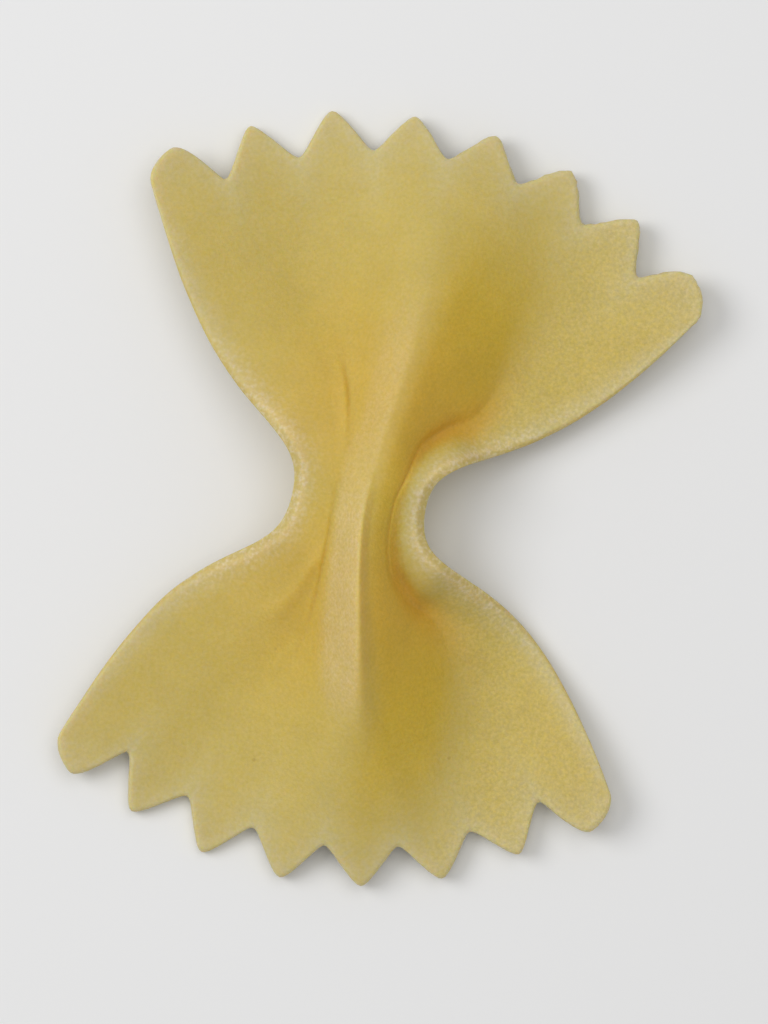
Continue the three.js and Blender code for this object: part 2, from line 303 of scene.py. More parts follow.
    def folded_across(self, q: np.ndarray, nu: np.ndarray, values: list[np.ndarray]) -> np.ndarray:
        """Joins five fold values by straight walls, rounded at each fold.

        Args:
            q: Places across the sheet, -1 to 1.
            nu: Places along the bow.
            values: The value on each fold line at those places.

        Returns:
            The value at each point.
        """
        folds = list(self.folds.values())
        at = [self.along(fold.across, nu) for fold in folds]
        slope = [(values[i + 1] - values[i]) / (at[i + 1] - at[i]) for i in range(len(folds) - 1)]
        out = values[0] + slope[0] * (q - at[0])
        for i in range(1, len(folds) - 1):
            out = out + (slope[i] - slope[i - 1]) * self.ramp(q - at[i], self.along(folds[i].softness, nu))
        return out

    def rib_height(self, q: np.ndarray, nu: np.ndarray) -> np.ndarray:
        """Gives the finger-like rib on the crest: a soft left side, and a crisp right one.

        Args:
            q: Places across the sheet.
            nu: Places along the bow.

        Returns:
            Millimetres to add to the top face.
        """
        crest = self.along(self.folds["crest"].across, nu)
        foot = self.along(self.rib_foot, nu)
        off = q - crest
        top, end = np.full_like(q, self.rib_top), np.full_like(q, self.rib_end)
        climb = rise(q, foot, (crest - foot) * self.along(self.rib_rise, nu))
        fall = (self.ramp(off, top) - self.ramp(off - self.rib_right, end)) / self.rib_right
        return np.maximum(self.along(self.rib, nu), 0.0) * climb * (1 - fall)

    def belly_height(self, q: np.ndarray, nu: np.ndarray) -> np.ndarray:
        """Gives the swell of the right wall, between the crest and the right valley.

        Args:
            q: Places across the sheet.
            nu: Places along the bow.

        Returns:
            Millimetres to add to the top face.
        """
        crest, valley = self.folds["crest"], self.folds["right_valley"]
        near, far = self.along(crest.across, nu), self.along(valley.across, nu)
        share = (self.ramp(q - near, self.along(crest.softness, nu))
                 - self.ramp(q - far, self.along(valley.softness, nu))) / (far - near)
        return 4 * np.maximum(self.along(self.belly, nu), 0.0) * share * (1 - share)

    def crease_height(self, crease: Crease, q: np.ndarray, nu: np.ndarray) -> np.ndarray:
        """Gives the slit and the standing lip of one crease.

        Args:
            crease: The crease's sizes.
            q: Places across the sheet.
            nu: Places along the bow.

        Returns:
            Millimetres to add to the top face.
        """
        off = q - self.along(crease.across, nu)
        slit = np.maximum(self.along(crease.slit, nu), 0.0) * bell(off, 0, crease.width)
        lip = np.maximum(self.along(crease.lip, nu), 0.0) * np.exp(np.minimum(off, 0.0) / crease.lip_width)
        return lip * smoothstep((crease.step - off) / (2 * crease.step)) - slit

    @staticmethod
    def ripple_height(ripple: Ripple, q: np.ndarray, nu: np.ndarray) -> np.ndarray:
        """Gives one ripple: a smooth bank along its line, dying out past its ends.

        Args:
            ripple: The ripple's sizes.
            q: Places across the sheet.
            nu: Places along the bow.

        Returns:
            Millimetres to add to the top face.
        """
        (q0, n0), (q1, n1) = ripple.start, ripple.end
        share = (nu - n0) / (n1 - n0)
        line = q0 + (q1 - q0) * np.clip(share, -ripple.run_on, 1 + ripple.run_on)
        past = np.maximum(np.abs(share - 0.5) - ripple.full, 0.0)
        return ripple.height * bell(past, 0, ripple.fade) * bell(q, line, ripple.width)

    def side_drop(self, to_side: np.ndarray, nu: np.ndarray) -> np.ndarray:
        """Gives the fall of the sloping edge along the wings' sides and round the waist.

        Args:
            to_side: Millimetres from the long edge.
            nu: Places along the bow.

        Returns:
            Millimetres to take off the top face.
        """
        width, drop = self.along(self.bevel_width, nu), self.along(self.bevel_drop, nu)
        slope = drop / width * self.ramp(width - to_side, np.full_like(width, self.arris))
        return slope + self.shoulder(to_side, self.arris)

    def cut_reach(self, s: np.ndarray, fan: Fan) -> np.ndarray:
        """Says how far the zigzag cut reaches past the ring of notches.

        Args:
            s: Millimetres across the sheet.
            fan: The wing.

        Returns:
            Millimetres past the ring.
        """
        a = np.abs(s)
        foot = self.teeth / 2 * self.tooth_pitch
        tooth = np.clip(np.floor(s / self.tooth_pitch + self.teeth / 2).astype(int), 0, self.teeth - 1)
        swing = np.arcsin(self.tooth_sharpness * np.cos(2 * np.pi * a / self.tooth_pitch))
        wave = np.asarray(fan.reach)[tooth] * (0.5 - 0.5 * swing / math.asin(self.tooth_sharpness))
        lobe, side, at = (np.where(s < 0, getattr(fan.left, name), getattr(fan.right, name))
                          for name in ("lobe", "lobe_side", "lobe_at"))
        climb = np.clip((a - foot) / (at - foot), 0.0, 1.0)
        eased = (1 + self.lobe_start) * climb ** 2 / (climb + self.lobe_start)
        inner = lobe * (1 - (1 - eased) ** self.lobe_roundness)
        x = np.clip((a - at) / (self.half_width - at), 0.0, 1.0)
        outer = side + (lobe - side) * (1 - x ** self.corner_squareness) ** (1 / self.corner_squareness)
        return np.where(a <= foot, wave, np.where(a <= at, inner, outer))

    def wing_plan(self, s: np.ndarray, t: np.ndarray, fan: Fan) -> tuple[np.ndarray, np.ndarray, np.ndarray]:
        """Lays each line of dough as one cubic curve from the waist to the cut.

        Args:
            s: Millimetres across the sheet.
            t: 0 at the waist to 1 at the cut.
            fan: The wing.

        Returns:
            x and y as if the wing pointed up, and the place along the bow.
        """
        spread, waist_pull, end_pull, heading = (
            np.where(s < 0, getattr(fan.left, name), getattr(fan.right, name))
            for name in ("spread", "waist_pull", "end_pull", "heading"))
        q = s / self.half_width
        a = np.abs(q)
        even = s / self.tooth_pitch * fan.pitch_angle
        even_spread = self.half_width / self.tooth_pitch * fan.pitch_angle
        angle = np.radians(fan.middle - even - np.sign(s) * (spread - even_spread) * a ** self.edge_turn)
        third = fan.ring / 3
        waist_pull = third + (waist_pull - third) * a ** 2
        end_pull = third + (end_pull - third) * a ** 2
        turn = angle + (np.radians(heading) - angle) * a ** 3
        zero = np.zeros_like(q)
        waist_x = self.folded_across(q, zero, [zero + fold.waist_x for fold in self.folds.values()])
        reach = self.cut_reach(s, fan) * np.clip((t - self.teeth_start) / (1 - self.teeth_start), 0, 1) ** 2

        def curve(p0: np.ndarray, p1: np.ndarray, p2: np.ndarray, p3: np.ndarray) -> np.ndarray:
            """Mixes four control values into one cubic curve."""
            return (1 - t) ** 3 * p0 + 3 * (1 - t) ** 2 * t * p1 + 3 * (1 - t) * t * t * p2 + t ** 3 * p3

        end_x, end_y = fan.ring * np.cos(angle), fan.ring * np.sin(angle)
        out_x, out_y = np.cos(turn), np.sin(turn)
        x = curve(waist_x, waist_x, end_x - end_pull * out_x, end_x) + out_x * reach
        y = curve(zero, waist_pull, end_y - end_pull * out_y, end_y) + out_y * reach
        return x, y, t + reach / fan.ring

    def plan(self, s: np.ndarray, v: np.ndarray) -> tuple[np.ndarray, np.ndarray, np.ndarray]:
        """Places points of the sheet in plan.

        Args:
            s: Millimetres across the sheet.
            v: -1 at the lower cut to 1 at the upper one.

        Returns:
            x, y in millimetres and the place along the bow.
        """
        x, y, nu = np.zeros_like(s), np.zeros_like(s), np.zeros_like(s)
        for half in Half:
            mine = (v < 0) == (half is Half.LOWER)
            wx, wy, wn = self.wing_plan(s[mine], np.abs(v[mine]), self.fans[half])
            x[mine], y[mine], nu[mine] = wx, half.value * wy, half.value * wn
        return x, y, nu

    @staticmethod
    def shoulder(distance: np.ndarray, radius: float) -> np.ndarray:
        """Gives the drop of a rounded edge at a distance inside it."""
        x = np.clip(1 - distance / radius, 0.0, 1.0)
        return radius * (1 - np.sqrt(np.maximum(1 - x * x, 0.0)))

    def skins(self, s: np.ndarray, v: np.ndarray) -> dict[str, np.ndarray]:
        """Finds the top face and the underside.

        Args:
            s: Millimetres across the sheet.
            v: -1 to 1 along it.

        Returns:
            x, y, top and under in millimetres, and nu, to_side and to_cut for the finish.
        """
        x, y, nu = self.plan(s, v)
        side_x, side_y, _ = self.plan(np.where(s < 0, -self.half_width, self.half_width), v)
        cut_x, cut_y, _ = self.plan(s, np.where(v < 0, -1.0, 1.0))
        to_side = np.hypot(x - side_x, y - side_y)
        to_cut = self.flank_factor * np.hypot(x - cut_x, y - cut_y)
        q = s / self.half_width
        folds = self.folds.values()
        skin = self.folded_across(q, nu, [self.along(fold.height, nu) for fold in folds])
        depth = self.folded_across(q, nu, [self.along(fold.depth, nu) for fold in folds])
        under = skin - np.maximum(depth, self.thickness)
        under = under + np.maximum(self.shoulder(to_side, self.under_shoulder),
                                   self.shoulder(to_cut, self.under_shoulder))
        top = skin + self.rib_height(q, nu) + self.belly_height(q, nu)
        for crease in self.creases:
            top = top + self.crease_height(crease, q, nu)
        for ripple in self.ripples:
            top = top + self.ripple_height(ripple, q, nu)
        top = top - np.maximum(self.side_drop(to_side, nu), self.shoulder(to_cut, self.end_shoulder))
        return {"x": x, "y": y, "top": top, "under": under, "nu": nu, "to_side": to_side, "to_cut": to_cut}


@dataclass(frozen=True)
class DoughRelief:
    """Geometry Nodes that make the smooth sheet as uneven as rolled, pinched and dried dough."""

    swell_size: float = 5.0 * MM        # waves that drying leaves all over
    swell_height: float = 0.16 * MM
    pucker_size: float = 1.1 * MM       # small creases of stretched dough, on the rib and at the waist
    pucker_height: float = 0.035 * MM
    rag_size: float = 0.55 * MM         # tears that the cutting wheel leaves on the toothed cuts
    rag_height: float = 0.5 * MM
    seed: int = 7

    def build(self) -> bpy.types.NodeTree:
        """Builds the tree: three sizes of noise along the normal, each under its own mask.

        Returns:
            The geometry tree, with its sizes as named inputs.
        """
        tree = bpy.data.node_groups.new("dough_relief", "GeometryNodeTree")
        masks = {"Swell": Layer.RELIEF, "Pucker": Layer.BLOOM, "Rag": Layer.RAG}
        kinds = {"Geometry": "Geometry", "Seed": "Int", "Finish": "Material"}
        kinds |= {f"{label} {size}": "Float" for label in masks for size in ("Size", "Height")}
        for name, kind in kinds.items():
            tree.interface.new_socket(name, in_out="INPUT", socket_type=f"NodeSocket{kind}")
        tree.interface.new_socket("Geometry", in_out="OUTPUT", socket_type="NodeSocketGeometry")
        given = add_node(tree, "NodeGroupInput").outputs
        place = add_node(tree, "GeometryNodeInputPosition").outputs[0]
        normal = add_node(tree, "GeometryNodeInputNormal").outputs[0]
        total = None
        for step, (label, layer) in enumerate(masks.items()):
            scale = add_node(tree, "ShaderNodeMath", {"operation": "DIVIDE"},
                             {0: 1.0, 1: given[f"{label} Size"]})
            shift = add_node(tree, "ShaderNodeMath", {"operation": "ADD"},
                             {0: given["Seed"], 1: float(step)})
            noise = add_node(tree, "ShaderNodeTexNoise", {"noise_dimensions": "4D"}, {
                "Vector": place, "W": shift.outputs[0], "Scale": scale.outputs[0], "Detail": 2.0})
            centred = add_node(tree, "ShaderNodeMath", {"operation": "SUBTRACT"},
                               {0: noise.outputs[0], 1: 0.5})
            mask = add_node(tree, "GeometryNodeInputNamedAttribute", {"data_type": "FLOAT"},
                            {"Name": layer.value})
            masked = add_node(tree, "ShaderNodeMath", {"operation": "MULTIPLY"},
                              {0: centred.outputs[0], 1: mask.outputs["Attribute"]})
            sized = add_node(tree, "ShaderNodeMath", {"operation": "MULTIPLY"},
                             {0: masked.outputs[0], 1: given[f"{label} Height"]})
            total = sized if total is None else add_node(
                tree, "ShaderNodeMath", {"operation": "ADD"}, {0: total.outputs[0], 1: sized.outputs[0]})
        push = add_node(tree, "ShaderNodeVectorMath", {"operation": "SCALE"},
                        {0: normal, "Scale": total.outputs[0]})
        moved = add_node(tree, "GeometryNodeSetPosition", None,
                         {"Geometry": given["Geometry"], "Offset": push.outputs[0]})
        real = add_node(tree, "GeometryNodeRealizeInstances", None, {"Geometry": moved.outputs[0]})
        dressed = add_node(tree, "GeometryNodeSetMaterial", None,
                           {"Geometry": real.outputs[0], "Material": given["Finish"]})
        add_node(tree, "NodeGroupOutput", None, {"Geometry": dressed.outputs[0]})
        return tree

    def apply(self, piece: bpy.types.Object, finish: bpy.types.Material) -> None:
        """Runs the tree on a piece and keeps the result as its plain mesh.

        Args:
            piece: The object to make uneven.
            finish: The material that the tree gives it.
        """
        tree = self.build()
        modifier = piece.modifiers.new("relief", "NODES")
        modifier.node_group = tree
        values = {
            "Swell Size": self.swell_size, "Swell Height": self.swell_height,
            "Pucker Size": self.pucker_size, "Pucker Height": self.pucker_height,
            "Rag Size": self.rag_size, "Rag Height": self.rag_height,
            "Seed": self.seed, "Finish": finish,
        }
        for item in tree.interface.items_tree:
            if item.in_out == "INPUT" and item.name in values:
                modifier[item.identifier] = values[item.name]
        graph = bpy.context.evaluated_depsgraph_get()
        uneven = bpy.data.meshes.new_from_object(piece.evaluated_get(graph))
        piece.modifiers.remove(modifier)
        smooth = piece.data
        piece.data = uneven
        uneven.name = piece.name
        bpy.data.meshes.remove(smooth)
        bpy.data.node_groups.remove(tree)


@dataclass(frozen=True)
class DurumDough:
    """Durum wheat dough, rolled into a sheet, cut, pinched and slowly dried.

    The wheat's own colour makes it yellow. Its skin is matt and finely gritty, and light goes about a
    millimetre into it, which softens the shade and lets the edges glow a little. It is paler where it is
    thin or stretched, and more orange where it is thick at the pinch. Painted shade gives the walls and
    valleys that face away from the light a deeper, darker yellow and more orange.
    """

    body: str = "CDB75F"
    pale: str = "CFC28B"                 # thin dough along the edges
    painted_shade_yellow: str = "D0B236"                 # painted shade on the walls and valleys that face away from the light
    warm: str = "DEAB38"                 # the thick dough of the pinch, and painted shade in the hollows and the right valley's pleat
    cut: str = "C9B670"                  # the sloping long edges
    chalk: str = "DFC891"                # stretched dough
    dust: str = "EDE2C0"                 # crumbs of starch
    fleck: str = "A88538"                # bran
    roughness: float = 0.62
    ior: float = 1.5                     # of dry starch
    scatter: float = 0.6
    scatter_depth: float = 1.4 * MM
    scatter_reach: tuple[float, float, float] = (1.0, 0.62, 0.25)  # red light goes the furthest
    noise_span: Pair = (0.3, 0.7)        # where nearly all of a noise's values lie
    semolina: float = 0.22 * MM          # grit: semolina is ground to 0.15 to 0.5 mm
    grit_depth: float = 0.05 * MM
    grit_strength: float = 0.6
    grit_contrast: Pair = (0.047, 0.11)  # where the meal shows least, and most; the most is painted grazing light on the side facing away from the light
    meal: float = 0.3 * MM               # coarser grit, some of it with more starch
    starchy: float = 0.17                # how much the blue in it changes from grain to grain
    green_shift: float = 0.01            # how much the green does
    chalk_cover: Pair = (0.5, 1.05)      # from grain to grain
    crumb_span: Pair = (0.45, 0.7)       # of the meal's noise, where crumbs cling
    crumb_cover: float = 0.3
    mottle: float = 2.4 * MM             # clouds that uneven drying leaves
    mottle_span: Pair = (0.97, 1.03)     # darkest and brightest
    fleck_spacing: float = 2.6 * MM
    fleck_share: float = 0.12            # of the places where one could be
    fleck_radius: Pair = (0.03, 0.06)    # of the spacing, its core and its edge
    fleck_cover: float = 0.35

    def build(self) -> bpy.types.Material:
        """Builds the finish from the mesh's layers and from patterns at the size of the meal.

        Returns:
            The material.
        """
        material = bpy.data.materials.new("durum_wheat_dough")
        material.use_nodes = True
        tree = material.node_tree
        tree.nodes.clear()
        place = add_node(tree, "ShaderNodeTexCoord").outputs["Object"]
        rim, hollow, warm, bloom, cut, dust, meal_in_grazing_light = (
            add_node(tree, "ShaderNodeAttribute", {"attribute_name": layer.value}).outputs["Fac"]
            for layer in (Layer.RIM, Layer.PAINTED_SHADE, Layer.WARM, Layer.BLOOM, Layer.CUT, Layer.DUST,
                          Layer.MEAL))
        mottle, grain, meal = (
            add_node(tree, "ShaderNodeTexNoise", None, {
                "Vector": place, "Scale": 1 / size, "Detail": detail, "Roughness": rough}).outputs[0]
            for size, detail, rough in (
                (self.mottle, 3.0, 0.6), (self.semolina, 2.0, 0.7), (self.meal, 1.0, 0.5)))
        low, high = self.noise_span
        ranges = {
            "chalk": (grain, low, high, *self.chalk_cover),
            "starch": (meal, low, high, 0.0, 1.0),
            "crumbs": (meal, *self.crumb_span, 0.0, self.crumb_cover),
            "cloud": (mottle, low, high, *self.mottle_span),
            "coarse": (meal_in_grazing_light, 0.0, 1.0, *self.grit_contrast),
            "grit": (grain, low, high, -1.0, 1.0),
        }
        mapped = {
            name: add_node(tree, "ShaderNodeMapRange", None, {
                "Value": value, "From Min": a, "From Max": b, "To Min": c, "To Max": d}).outputs[0]
            for name, (value, a, b, c, d) in ranges.items()}
        chalky, dusted, speck = (
            add_node(tree, "ShaderNodeMath", {"operation": "MULTIPLY"}, {0: one, 1: other}).outputs[0]
            for one, other in (
                (bloom, mapped["chalk"]), (dust, mapped["crumbs"]), (mapped["grit"], mapped["coarse"])))
        colour = linear(self.body)
        # painted shade: the walls and valleys that face away from the light get a darker, deeper yellow
        for share, coat in ((rim, self.pale), (hollow, self.painted_shade_yellow), (warm, self.warm), (cut, self.cut),
                            (chalky, self.chalk), (dusted, self.dust)):
            colour = add_node(tree, "ShaderNodeMix", {"data_type": "RGBA"},
                              {0: share, 6: colour, 7: linear(coat)}).outputs[2]
        yellower, paler = (
            add_node(tree, "ShaderNodeVectorMath", {"operation": "MULTIPLY"}, {
                0: colour, 1: (1.0, 1 + side * self.green_shift, 1 + side * self.starchy)}).outputs[0]
            for side in (-1, 1))
        colour = add_node(tree, "ShaderNodeMix", {"data_type": "RGBA"},
                          {0: mapped["starch"], 6: yellower, 7: paler}).outputs[2]
        shade = add_node(tree, "ShaderNodeMath", {"operation": "ADD"},
                         {0: mapped["cloud"], 1: speck}).outputs[0]
        colour = add_node(tree, "ShaderNodeVectorMath", {"operation": "SCALE"},
                          {0: colour, "Scale": shade}).outputs[0]
        cells = add_node(tree, "ShaderNodeTexVoronoi", {"feature": "F1"},
                         {"Vector": place, "Scale": 1 / self.fleck_spacing}).outputs
        core, edge = self.fleck_radius
        near = add_node(tree, "ShaderNodeMapRange", None, {
            "Value": cells["Distance"], "From Min": core, "From Max": edge,
            "To Min": self.fleck_cover, "To Max": 0.0}).outputs[0]
        lot = add_node(tree, "ShaderNodeSeparateColor", None, {0: cells["Color"]}).outputs[0]
        chosen = add_node(tree, "ShaderNodeMath", {"operation": "GREATER_THAN"},
                          {0: lot, 1: 1 - self.fleck_share}).outputs[0]
        flecked = add_node(tree, "ShaderNodeMath", {"operation": "MULTIPLY"}, {0: near, 1: chosen}).outputs[0]
        colour = add_node(tree, "ShaderNodeMix", {"data_type": "RGBA"},
                          {0: flecked, 6: colour, 7: linear(self.fleck)}).outputs[2]
        bump = add_node(tree, "ShaderNodeBump", None, {
            "Strength": self.grit_strength, "Distance": self.grit_depth, "Height": grain}).outputs[0]
        shader = add_node(tree, "ShaderNodeBsdfPrincipled", None, {
            "Base Color": colour, "Roughness": self.roughness, "IOR": self.ior,
            "Subsurface Weight": self.scatter, "Subsurface Radius": self.scatter_reach,
            "Subsurface Scale": self.scatter_depth, "Normal": bump})
        add_node(tree, "ShaderNodeOutputMaterial", None, {"Surface": shader.outputs[0]})
        return material


@dataclass(frozen=True)
class FinishZones:
    """Where each look lies on the sheet, from -1 to 1 across it and along the bow unless it says mm.

    A run is where a look starts and how far it takes to grow full. "Back from" turns the run round: one that
    starts at -0.7 is gone beyond 0.7. A spot is the middle of a look and how far it takes to die out.
    """

    drift: float = 0.12                  # of the shade to the left, on the lower wing
    drift_run: Pair = (0.55, 0.3)        # down from the waist
    drift_reach: float = 0.5             # share of it that lengthens the shade
    shade_start: float = -0.02           # from the crest
    shade_growth: float = 0.25
    shade_growth_waist: float = 0.12     # added to it at the waist
    waist_spot: Pair = (0.0, 0.3)
    shade_stop: float = 0.05             # from the right valley
    shade_stop_pull: float = 0.17        # taken off it far from the waist
    pull_run: Pair = (0.3, 0.4)          # out from the waist
    stop_run: Pair = (-0.12, 0.24)       # back from the stop
    cut_run: Pair = (-1.0, 0.4)          # back from the cut
    left_valley_shade_share: float = 0.45           # how strong the painted shade of the left valley is
    valley_spot: Pair = (0.0, 0.35)      # from the left valley
    valley_run: Pair = (-0.95, 0.5)      # back from the cut
    rib_left_run: Pair = (-0.08, 0.16)   # from the rib's foot
    rib_right_run: Pair = (-0.04, 0.08)  # back from the crest
    rib_low_run: Pair = (-0.7, 0.2)      # up from the lower cut
    rib_high_run: Pair = (-0.7, 0.3)     # down from the upper cut
    rib_chalk: float = 0.64
    rib_chalk_loss: float = 0.37         # above the waist, where it is less stretched
    rib_loss_run: Pair = (-0.06, 0.16)
    warm_base: float = 0.22
    warm_painted_shade: float = 0.24            # painted shade: added in the shaded hollows
    warm_pleat_shade: float = 0.45             # painted shade: added in the right valley's shaded pleat
    pleat_spot: Pair = (-0.03, 0.1)      # from the right valley
    flange_run: Pair = (-0.108, 0.12)    # the right flange, past the valley, has none
    warm_rib: float = 0.2                # added on the upper part of the rib
    warm_rib_run: Pair = (-0.1, 0.2)
    warm_spot: Pair = (0.3, 0.28)        # out from the waist
    arris_spot: Pair = (0.1, 0.3)        # mm in from the sloping edge's top
    arris_run: Pair = (-0.7, 0.3)        # back from the cut
    arris_chalk: float = 0.6
    side_face_run: Pair = (-0.1, 0.2)    # mm from the sloping edge's top
    end_face: float = 0.25               # mm from the cut
    side_fade: float = 1.25              # mm over which the long edges' paleness dies out
    cut_fade: float = 2.2                # mm, the same along the toothed cuts
    dust_run: Pair = (-0.85, 0.35)       # back from the cut
    free_height: float = 0.5             # mm over the table, where the skin may swell fully
    rag_least: float = 0.15              # how torn the clean cuts are
    rag_up_run: Pair = (0.5, 0.2)        # the upper right teeth are torn the most
    rag_right_run: Pair = (-0.15, 0.3)
    meal_in_painted_shade: float = 0.4             # how much the meal shows in the painted shade, as painted grazing light
    meal_right_run: Pair = (-0.2, 0.3)   # from the right valley
    meal_out_run: Pair = (0.3, 0.3)      # out from the waist

    def hollow(self, crest: np.ndarray, left: np.ndarray, right: np.ndarray, nu: np.ndarray) -> np.ndarray:
        """Finds where shade is painted: the right wall that faces away from the light, and fainter the left
        valley.

        Args:
            crest: Places across the sheet, from the crest.
            left: The same from the left valley.
            right: The same from the right valley.
            nu: Places along the bow.

        Returns:
            How strong the painted shade is, 0 to 1.
        """
        far = np.abs(nu)
        drift = self.drift * rise(-nu, *self.drift_run)
        stop = self.shade_stop - self.shade_stop_pull * rise(far, *self.pull_run) - drift
        growth = self.shade_growth + self.shade_growth_waist * bell(nu, *self.waist_spot)
        shaded = rise(crest + drift, self.shade_start, growth) * rise(stop - right, *self.stop_run)
        shaded = shaded * rise(self.drift_reach * drift - far, *self.cut_run)
        left_valley_shade = self.left_valley_shade_share * bell(left, *self.valley_spot) * rise(-far, *self.valley_run)
        return np.clip(shaded + left_valley_shade, 0, 1)

    def rib(self, crest: np.ndarray, foot: np.ndarray, nu: np.ndarray) -> np.ndarray:
        """Finds the chalky, stretched skin of the rib.

        Args:
            crest: Places across the sheet, from the crest.
            foot: The same from the rib's foot.
            nu: Places along the bow.

        Returns:
            How chalky it is, 0 to 1.
        """
        skin = rise(foot, *self.rib_left_run) * rise(-crest, *self.rib_right_run)
        skin = skin * rise(nu, *self.rib_low_run) * rise(-nu, *self.rib_high_run)
        return skin * (self.rib_chalk - self.rib_chalk_loss * rise(nu, *self.rib_loss_run))

    def layers(self, sheet: DoughSheet, skin: dict[str, np.ndarray], s: np.ndarray,
               z: np.ndarray) -> dict[Layer, np.ndarray]:
        """Works out what the finish needs to know at each point of a face.

        Args:
            sheet: The folded sheet.
            skin: What DoughSheet.skins gave.
            s: Millimetres across the sheet.
            z: Height over the table in millimetres.

        Returns:
            One value from 0 to 1 for each layer and point.
        """
        q, nu, to_side = s / sheet.half_width, skin["nu"], skin["to_side"]
        far = np.abs(nu)
        crest, left, right = (q - sheet.along(sheet.folds[name].across, nu)
                              for name in ("crest", "left_valley", "right_valley"))
        # painted shade on the right wall and valleys that face away from the light
        hollow = self.hollow(crest, left, right, nu)
        rib = self.rib(crest, q - sheet.along(sheet.rib_foot, nu), nu)
        # the base and the rib's share are the pinch's own orange; the hollow and pleat shares are painted
        # shade
        warm = self.warm_base + self.warm_painted_shade * hollow + self.warm_pleat_shade * bell(right, *self.pleat_spot)
        warm = warm * rise(-right, *self.flange_run) + self.warm_rib * rib * rise(nu, *self.warm_rib_run)
        bevel = sheet.along(sheet.bevel_width, nu)
        arris = bell(to_side - bevel, *self.arris_spot) * rise(-far, *self.arris_run)
        side_pale = bell(to_side, 0, self.side_fade)
        cut_pale = np.exp(-skin["to_cut"] / sheet.flank_factor / self.cut_fade)
        torn = rise(nu, *self.rag_up_run) * rise(q, *self.rag_right_run)
        torn = self.rag_least + (1 - self.rag_least) * torn
        # painted grazing light: the meal's speckle is strongest on the right wings, which face away from the
        # light
        meal_in_grazing_light = rise(right, *self.meal_right_run) * rise(far, *self.meal_out_run)
        return {
            Layer.RIM: np.maximum(side_pale, cut_pale),
            Layer.PAINTED_SHADE: hollow,
            Layer.WARM: bell(far, *self.warm_spot) * np.clip(warm, 0, 1),
            Layer.BLOOM: np.clip(rib + self.arris_chalk * arris, 0, 1),
            Layer.CUT: rise(bevel - to_side, *self.side_face_run),
            Layer.RELIEF: rise(z, 0, self.free_height),
            Layer.RAG: rise(-skin["to_cut"], -self.end_face, self.end_face) * torn,
            Layer.DUST: side_pale * rise(-far, *self.dust_run),
            Layer.MEAL: np.maximum(self.meal_in_painted_shade * hollow, meal_in_grazing_light),
        }


@dataclass
class Farfallone:
    """The pasta piece: the folded sheet as one closed mesh, its relief and its finish."""

    sheet: DoughSheet = field(default_factory=DoughSheet)
    relief: DoughRelief = field(default_factory=DoughRelief)
    finish: DurumDough = field(default_factory=DurumDough)
    zones: FinishZones = field(default_factory=FinishZones)
    columns: int = 184
    rows: int = 236
    rim_steps: Row = (0.0, 0.05, 0.13, 0.24, 0.38, 0.56, 0.8)   # mm from an edge
    underside_share: float = 0.3    # how much of the top's warmth and chalk the underside has

    def spread(self, count: int, reach: float) -> np.ndarray:
        """Spaces lines evenly with a few close ones at both ends.

        Args:
            count: How many evenly spaced lines.
            reach: The half-length in millimetres.

        Returns:
            Places from -reach to reach.
        """
        rim = np.asarray(self.rim_steps)
        inner = np.linspace(-(reach - rim[-1]), reach - rim[-1], count)
        return np.concatenate([rim - reach, inner[1:-1], (reach - rim)[::-1]])

    def mesh(self) -> bpy.types.Mesh:
        """Builds the closed mesh in metres: the top face, the underside and the rim between them.

        Returns:
            The mesh, with its layers as point attributes.
        """
        length = self.sheet.fans[Half.UPPER].ring
        across = self.spread(self.columns, self.sheet.half_width)
        along = self.spread(self.rows, length) / length
        s, v = (grid.ravel() for grid in np.meshgrid(across, along, indexing="ij"))
        skin = self.sheet.skins(s, v)
        lowest = skin["under"].min() + self.sheet.flattened
        x = skin["x"] - (skin["x"].min() + skin["x"].max()) / 2
        y = skin["y"] - (skin["y"].min() + skin["y"].max()) / 2
        faces_z = [np.maximum(skin[face] - lowest, 0.0) for face in ("top", "under")]
        points = np.concatenate([np.stack([x, y, z], axis=1) for z in faces_z])
        nx, ny = len(across), len(along)
        top = np.arange(nx * ny).reshape(nx, ny)
        under = top + nx * ny
        quads = np.stack([top[:-1, :-1], top[1:, :-1], top[1:, 1:], top[:-1, 1:]], axis=-1).reshape(-1, 4)
        around = np.concatenate([top[:, 0], top[-1, 1:], top[-2::-1, -1], top[0, -2:0:-1]])
        ahead = np.roll(around, -1)
        rim = np.stack([around + nx * ny, ahead + nx * ny, ahead, around], axis=-1)
        faces = np.concatenate([quads, quads[:, ::-1] + under[0, 0], rim])
        mesh = bpy.data.meshes.new(NODE)
        mesh.from_pydata((points * MM).tolist(), [], faces.tolist())
        mesh.update()
        mesh.shade_smooth()
        found = [self.zones.layers(self.sheet, skin, s, z) for z in faces_z]
        for layer in (Layer.WARM, Layer.BLOOM):
            found[1][layer] = found[1][layer] * self.underside_share
        for layer in Layer:
            values = np.concatenate([face[layer] for face in found]).astype(np.float32)
            mesh.attributes.new(layer.value, "FLOAT", "POINT").data.foreach_set("value", values)
        return mesh

    def build(self) -> bpy.types.Object:
        """Builds, roughens and dresses the piece, and binds it to the frame.

        Returns:
            The finished piece.
        """
        piece = bpy.data.objects.new("farfallone_dough", self.mesh())
        bpy.context.scene.collection.objects.link(piece)
        self.relief.apply(piece, self.finish.build())
        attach(piece, "root")
        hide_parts(NODE)
        return piece


